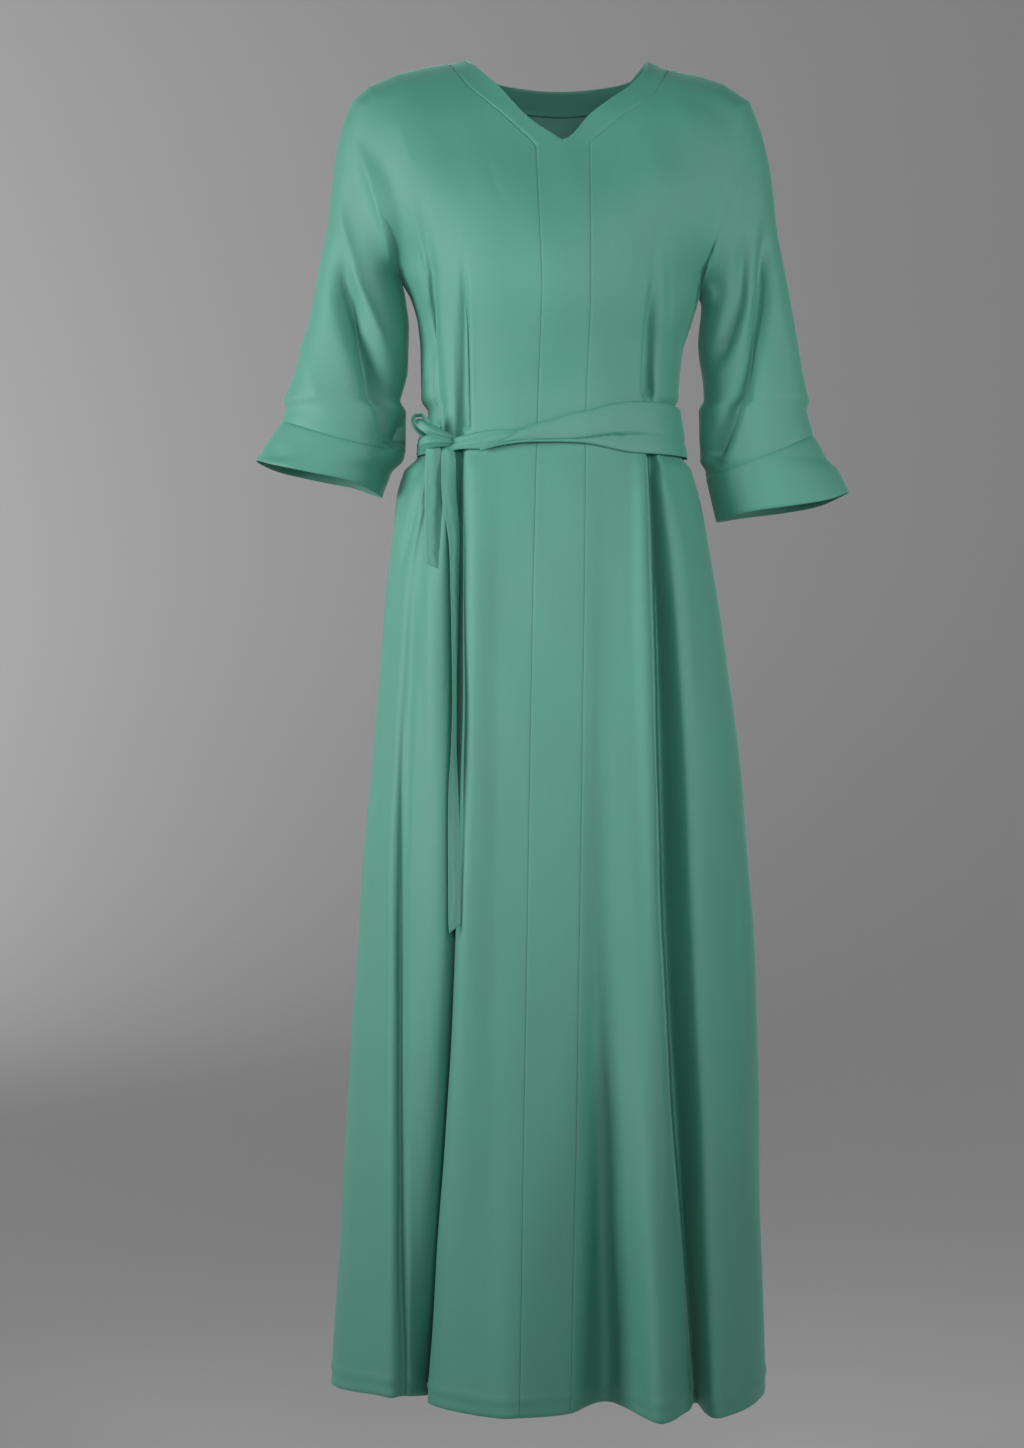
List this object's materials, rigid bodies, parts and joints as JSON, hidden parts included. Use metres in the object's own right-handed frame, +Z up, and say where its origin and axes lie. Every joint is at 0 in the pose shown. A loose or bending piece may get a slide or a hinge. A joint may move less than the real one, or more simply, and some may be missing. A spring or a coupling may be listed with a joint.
{
  "type": "midi dress",
  "caption": "Long loose dress in plain green satin crepe, worn shape, hollow, with cut-in-one flared elbow sleeves, V neck band, straight centre-front panel and a knotted tie belt.",
  "frame": {"origin": "between the shoulders, level with the shoulder seams and in the plane of the side seams, where a wearer's shoulders hold the dress up", "axes": "+Z up from hem to neck, -Y out of the front, +X to the wearer's left"},
  "size_m": [0.5995, 0.3848, 1.3274],
  "materials": {
    "dress_cloth": "plain jade green satin crepe, soft low sheen",
    "band_cloth": "the same satin crepe, doubled and pressed",
    "belt_cloth": "the same satin crepe, a folded strip"
  },
  "bodies": {
    "root": {"front_right": "dress_cloth", "centre_front": "dress_cloth", "front_left": "dress_cloth", "back": "dress_cloth", "neck_band_front_right": "band_cloth", "neck_band_front_left": "band_cloth", "neck_band_back": "band_cloth", "cuff_right": "band_cloth", "cuff_left": "band_cloth", "belt_waist": "belt_cloth", "belt_knot": "belt_cloth", "belt_loop": "belt_cloth", "belt_tie_end_long": "belt_cloth", "belt_tie_end_short": "belt_cloth"}
  },
  "joints": []
}
